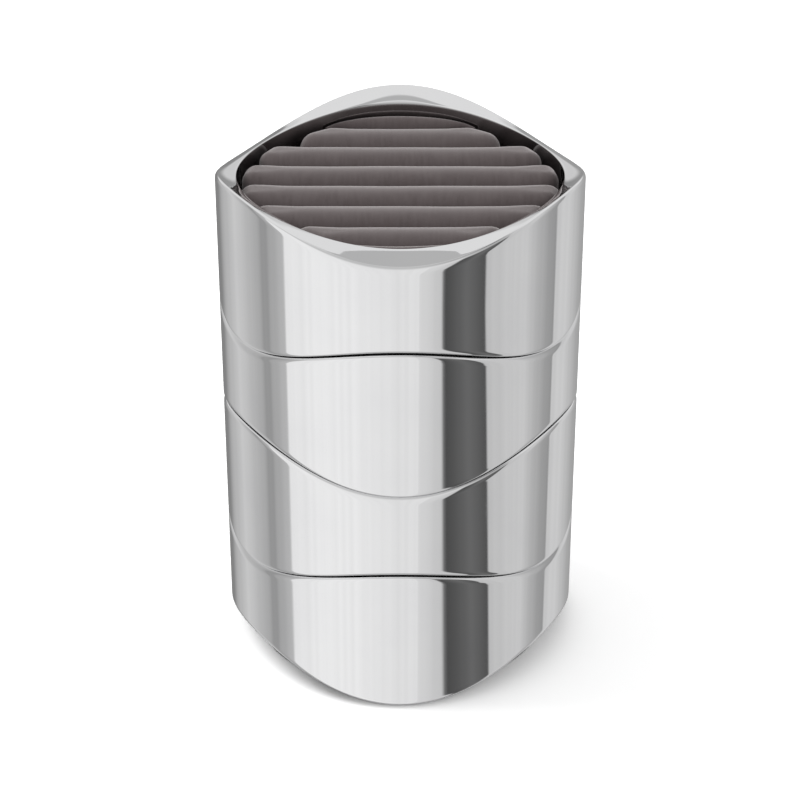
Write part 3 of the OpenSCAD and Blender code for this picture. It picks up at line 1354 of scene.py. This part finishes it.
@dataclass
class Studio:
    """Floor, light, the cards that the chrome mirrors, and the camera.

    Levels are display greys, and each edge is the pair of values between which one part of the
    room blends into the next. Cards in the leaning part of the turn seem to lean, by up to lean
    degrees, where the mirrored direction drops below lean_from. Mirror is the share of light
    that the chrome gives back, and streak is the strength of the cards' faint streaks. The
    camera's pitch is in degrees, and its distance and the height that it looks at are in
    millimetres.
    """

    size: TowerSizes = SIZES
    cards: tuple = (
        Card(-180, 142, 128), Card(-167, 128, 128), Card(-154, 134, 172), Card(-143, 173, 197),
        Card(-122, 195, 162), Card(-97, 146, 148), Card(-90, 160, 178), Card(-76.5, 226, 232),
        Card(-47, 232, 227), Card(-20, 227, 220), Card(0, 220, 211), Card(12, 211, 190),
        Card(26.5, 70, 101), Card(42, 101, 78), Card(54.5, 186, 194), Card(70, 194, 196),
        Card(84, 196, 172), Card(97, 170, 142), Card(113, 196, 200), Card(130, 196, 164),
        Card(152, 164, 142),
    )
    panels: tuple = (
        Panel(0.12, 0.7, -0.75, -0.4, 0.1, 176), Panel(-0.6, -0.16, -0.42, 0.5, 0.06, 226),
        Panel(-0.17, 0.17, -0.25, -0.05, 0.03, 180), Panel(0.14, 0.3, -0.3, 0.0, 0.05, 178),
        Panel(0.18, 0.42, -0.5, -0.28, 0.05, 112), Panel(0.86, 1.2, -0.6, 0.4, 0.1, 196),
        Panel(-1.2, -0.84, -0.6, 0.4, 0.1, 192), Panel(-0.6, 0.6, 0.96, 1.2, 0.03, 205),
    )
    card_inset: float = 0.35
    overhead: float = 225.0
    camera_side: float = 194.0
    ground: float = 150.0
    soft_light: float = 200.0
    overhead_edge: tuple = (0.3, 0.72)
    camera_edge: tuple = (-0.42, -0.25)
    rear_edge: tuple = (0.5, 0.9)
    wall_edge: tuple = (0.2, 0.5)
    rear_wall_edge: tuple = (-0.08, 0.03)
    ground_edge: tuple = (-0.98, -0.8)
    leaning: tuple = (0.54, 0.64, 0.7, 0.79)
    lean_from: float = 0.463
    lean: float = 64.0
    mirror: float = 0.886
    streak: float = 0.25
    floor_size: float = 8.0
    paper: float = 236.0
    paper_glow: float = 228.0
    flag_place: tuple = (0.001, -0.0525, 0.225)
    flag_size: tuple = (0.041, 0.045, 1.0)
    flag_level: float = 182.0
    lamps: tuple = (
        Lamp("key", (-0.9, 0.25, 1.1), 0.8, 9.0), Lamp("fill", (0.7, -0.9, 0.9), 0.9, 3.0)
    )
    lamp_aim: tuple = (0.0, 0.0, 0.08)
    pitch: float = 29.751
    distance: float = 778.77
    look_height: float = 74.94
    lens: float = 108.035
    sensor: float = 36.0
    shift: float = -0.0004

    def build(self) -> None:
        """Sets up the whole studio."""
        self._view()
        self._floor()
        self._flag()
        self._world()
        self._lamps()
        self._camera()

    @staticmethod
    def _view() -> None:
        """Shows colours as they are."""
        bpy.context.scene.view_settings.view_transform = "Standard"

    @staticmethod
    def _plane(name: str, place: Sequence[float], size: Sequence[float]) -> tuple:
        """Adds a level sheet with a material of its own.

        Args:
            name: The name of the sheet and its material.
            place: Its middle, in metres.
            size: Its width, its depth and 1, in metres.

        Returns:
            The sheet and its material's node board.
        """
        Bench.clear()
        bpy.ops.mesh.primitive_plane_add(size=1.0, location=place)
        bpy.context.object.scale = size
        sheet = Bench.settle(Bench.name(name))
        material = bpy.data.materials.new(name)
        material.use_nodes = True
        sheet.data.materials.append(material)
        return sheet, Board(material.node_tree)

    def _floor(self) -> None:
        """A white floor that takes the tower's shadow, and that the chrome looks through."""
        floor, board = self._plane("studio_floor", (0, 0, 0), (self.floor_size, self.floor_size, 1))
        paper = board.node("ShaderNodeBsdfDiffuse", {}, {"Color": grey(self.paper)})
        bright = board.mix(board.ray(Ray.CAMERA), grey(0), grey(self.paper_glow))
        lift = board.node("ShaderNodeBsdfDiffuse", {}, {"Color": bright})
        lit = board.node("ShaderNodeAddShader", {}, {0: paper, 1: lift})
        clear = board.node("ShaderNodeBsdfTransparent", {}, {})
        ways = {0: board.ray(Ray.GLOSSY), 1: lit, 2: clear}
        board.node_output(board.node("ShaderNodeMixShader", {}, ways))

    def _stops(self) -> list:
        """The cards as stops of a ramp round the tower.

        Returns:
            (place, light) pairs.
        """
        edges = []
        ends = [card.start for card in self.cards[1:]] + [180]
        for card, end in zip(self.cards, ends):
            edges.append((card.start + self.card_inset, card.first))
            edges.append((end - self.card_inset, card.last))
        return [((edge + 180) / 360, to_linear(level) / self.mirror) for edge, level in edges]

    def _flag(self) -> None:
        """A grey card over the front of the tower, which only its front rim mirrors."""
        card, board = self._plane("studio_flag", self.flag_place, self.flag_size)
        level = {"Color": grey(self.flag_level)}
        board.node_output(board.node("ShaderNodeEmission", {}, level))
        card.visible_camera = False
        card.visible_diffuse = False
        card.visible_shadow = False

    def _band(self, board: Board, way: Sequence[Wire]) -> Wire:
        """The cards round the tower, with faint upright streaks.

        Args:
            board: The world's node board.
            way: The X, Y and Z of the mirrored direction.

        Returns:
            Their colour.
        """
        x, y, z = way
        turn = board.node("ShaderNodeMath", {"operation": "ARCTAN2"}, {0: x, 1: 0.0 - y})
        flat = turn / math.tau + 0.5
        stripe = flat.step(*self.leaning[:2]) * (1.0 - flat.step(*self.leaning[2:]))
        place = flat - stripe * (0.0 - z - self.lean_from).clamp() * (self.lean / 360)
        stops = self._stops()
        half = len(stops) // 2
        left, right = (board.node("ShaderNodeValToRGB", {"stops": part}, {0: place})
                       for part in (stops[:half], stops[half:]))
        side = place.step(stops[half][0] - 0.0005, stops[half][0] - 0.0001)
        upright = board.node("ShaderNodeCombineXYZ", {}, {"X": place})
        streaks = board.noise(upright, scale=70.0, detail=4.0)
        uneven = (streaks - 0.35).clamp() * self.streak
        return board.mix(uneven, board.mix(side, left, right), grey(0))

    def _dome(self, board: Board, way: Sequence[Wire]) -> Wire:
        """The light over the tower, with its panels.

        Args:
            board: The world's node board.
            way: The X, Y and Z of the mirrored direction.

        Returns:
            Its colour.
        """
        x, y, z = way
        overhead = grey(self.overhead)
        dome = board.mix(z.step(*self.overhead_edge), overhead, grey(self.camera_side))
        dome = board.mix(y.step(*self.camera_edge), dome, overhead)
        for panel in self.panels:
            inside = x.within(panel.left, panel.right, panel.soft)
            inside = inside * y.within(panel.near, panel.far, panel.soft)
            dome = board.mix(inside, dome, grey(panel.level))
        return dome

    def _world(self) -> None:
        """White for the camera, even light for the soft pieces, and cards for the chrome."""
        world = bpy.data.worlds.new("studio")
        bpy.context.scene.world = world
        world.use_nodes = True
        board = Board(world.node_tree)
        way = board.axes(board.node("ShaderNodeTexCoord", {}, {}, "Generated"))
        _, y, z = way
        rear = y.step(*self.rear_edge)
        over = z.step(*self.wall_edge) * (1.0 - rear) + z.step(*self.rear_wall_edge) * rear
        walls = board.mix(over, self._band(board, way), self._dome(board, way))
        room = board.mix(z.step(*self.ground_edge), grey(self.ground), walls)
        lit = board.mix(board.ray(Ray.GLOSSY), grey(self.soft_light), room)
        colour = board.mix(board.ray(Ray.CAMERA), lit, grey(255))
        light = board.node("ShaderNodeBackground", {}, {"Color": colour, "Strength": 1.0})
        board.node_output(light, "ShaderNodeOutputWorld")

    def _lamps(self) -> None:
        """A large soft lamp from the upper left and a weak fill."""
        for lamp in self.lamps:
            Bench.clear()
            bpy.ops.object.light_add(type="AREA", location=lamp.place)
            light = bpy.context.object
            light.name = f"{lamp.name}_lamp"
            light.data.shape = "DISK"
            light.data.size = lamp.width
            light.data.energy = lamp.watts
            light.visible_glossy = False
            aim = Vector(self.lamp_aim) - Vector(lamp.place)
            light.rotation_euler = aim.to_track_quat("-Z", "Y").to_euler()

    def _camera(self) -> None:
        """The camera at the photograph's angle, from a fit to the tower's edges."""
        pitch = math.radians(self.pitch)
        aim = Vector((0, 0, (self.look_height + self.size.base_z) * MM))
        data = bpy.data.cameras.new("photo_camera")
        data.lens, data.sensor_width, data.shift_x = self.lens, self.sensor, self.shift
        camera = bpy.data.objects.new("photo_camera", data)
        bpy.context.collection.objects.link(camera)
        back = Vector((0, -math.cos(pitch), math.sin(pitch)))
        camera.location = aim + back * self.distance * MM
        camera.rotation_euler = (-back).to_track_quat("-Z", "Y").to_euler()
        data.clip_start, data.clip_end = 0.01, 50.0
        bpy.context.scene.camera = camera


def dress_cad() -> None:
    """Gives the CAD nodes that stay in view their finish."""
    for tier, body in zip(TIERS, TIER_BODIES):
        SILICONE.dress(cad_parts[f"{tier}_gasket"])
        LOG.info("%s_gasket: CAD node on %s", tier, body.value)


def main() -> None:
    """Builds the sub-assemblies in order, from the table up, and then the studio."""
    logging.basicConfig(level=logging.INFO, format="%(name)s: %(message)s")
    parts = [part(tier) for tier in range(len(TIERS)) for part in (TierShell, TierFloor)]
    parts += [Feet(), Tray(0), BasePad()]
    parts += [Tray(1, dividers=1), DividerBoard("lower_divider", 1)]
    parts += [Tray(2, dividers=2), DividerBoard("upper_long_divider", 2, lap=Lap.TOP),
              DividerBoard("upper_cross_divider", 2, across=True, lap=Lap.BOTTOM)]
    for part in parts + [RingCushion()]:
        part.build()
    dress_cad()
    Studio().build()


if __name__ == "__main__":
    main()
